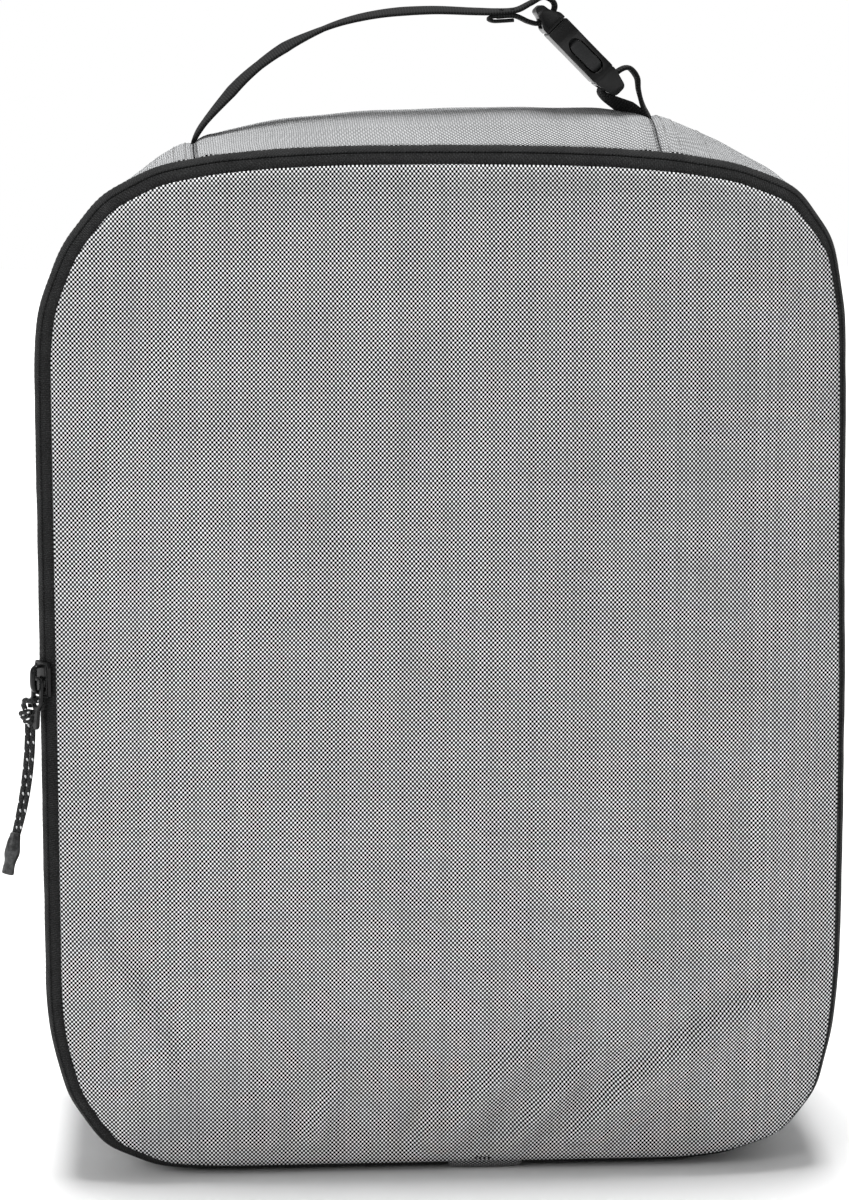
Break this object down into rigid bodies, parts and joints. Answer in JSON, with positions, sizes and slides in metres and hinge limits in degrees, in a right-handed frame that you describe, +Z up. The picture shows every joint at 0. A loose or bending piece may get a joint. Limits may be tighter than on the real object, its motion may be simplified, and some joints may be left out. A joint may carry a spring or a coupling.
{
  "type": "packing cube",
  "caption": "Upright soft packing cube with a zipped front lid, a buckled webbing handle on top and a cord pull on the zip.",
  "frame": {"origin": "middle of the flat base, on the surface that the cube stands on", "axes": "+X to the right of someone facing the lid, +Y to the back, +Z up"},
  "size_m": [0.2699, 0.1186, 0.3767],
  "materials": {
    "oxford_fabric": "two-tone grey oxford weave, matt",
    "binding_tape": "black grosgrain, matt",
    "zip_tape": "black woven zip tape, matt",
    "zip_coil": "black nylon coil, satin",
    "black_metal": "black enamel, semi-gloss",
    "flecked_cord": "black braid with pale flecks",
    "shrink_sleeve": "dark grey heat-shrink sleeve, satin",
    "webbing": "black ribbed polyester webbing",
    "buckle_plastic": "black acetal, fine satin"
  },
  "bodies": {
    "root": {"gusset_top": "oxford_fabric", "gusset_left": "oxford_fabric", "gusset_right": "oxford_fabric", "gusset_bottom": "oxford_fabric", "back_panel": "oxford_fabric", "back_edge_binding": "binding_tape", "back_seam_binding": "binding_tape", "front_seam_binding": "binding_tape", "zip_tape_gusset": "zip_tape", "zip_coil_gusset": "zip_coil", "zip_stop_left": "black_metal", "zip_stop_right": "black_metal", "zip_end_tab": "oxford_fabric"},
    "lid": {"front_panel": "oxford_fabric", "lid_seam_binding": "binding_tape", "zip_tape_lid": "zip_tape", "zip_coil_lid": "zip_coil"},
    "slider": {"slider_body": "black_metal", "slider_crown": "black_metal"},
    "puller": {"puller_tab": "black_metal", "cord_loop": "flecked_cord"},
    "pull": {"pull_cord": "flecked_cord", "shrink_end": "shrink_sleeve"},
    "handle": {"handle_strap": "webbing", "anchor_loop": "webbing", "buckle_socket": "buckle_plastic"},
    "plug": {"buckle_plug": "buckle_plastic"},
    "arm_front": {"buckle_arm_front": "buckle_plastic"},
    "arm_rear": {"buckle_arm_rear": "buckle_plastic"}
  },
  "joints": [
    {"name": "lid_open", "type": "hinge", "parent": "root", "child": "lid", "pos_m": [0, -0.04665, 0.0002], "axis": [1, 0, 0], "range_deg": [0, 165], "deforming": ["zip_end_tab"]},
    {"name": "slider_travel", "type": "slide", "parent": "root", "child": "slider", "axis": [0, 0, 1], "range_m": [-0.0995, 0.111]},
    {"name": "puller_swing", "type": "hinge", "parent": "slider", "child": "puller", "pos_m": [-0.12873, -0.04692, 0.164], "axis": [-0.5263, 0.8503, 0], "range_deg": [0, 120]},
    {"name": "cord_swing", "type": "hinge", "parent": "puller", "child": "pull", "pos_m": [-0.13165, -0.0439, 0.1514], "axis": [-0.5263, 0.8503, 0], "range_deg": [0, 50]},
    {"name": "handle_swing", "type": "hinge", "parent": "root", "child": "handle", "pos_m": [-0.075, 0, 0.3358], "axis": [0.9997, 0, 0.0244], "range_deg": [-45, 45]},
    {"name": "buckle_release", "type": "slide", "parent": "handle", "child": "plug", "axis": [-0.7071, 0, 0.7071], "range_m": [0, 0.024], "deforming": ["handle_strap", "buckle_arm_front", "buckle_arm_rear"]},
    {"name": "arm_press_front", "type": "hinge", "parent": "plug", "child": "arm_front", "pos_m": [0.03825, -0.0051, 0.36665], "axis": [0.7071, 0, 0.7071], "range_deg": [0, 8], "stiffness_Nm_per_rad": 0.3},
    {"name": "arm_press_rear", "type": "hinge", "parent": "plug", "child": "arm_rear", "pos_m": [0.03825, 0.0051, 0.36665], "axis": [-0.7071, 0, -0.7071], "range_deg": [0, 8], "stiffness_Nm_per_rad": 0.3}
  ]
}
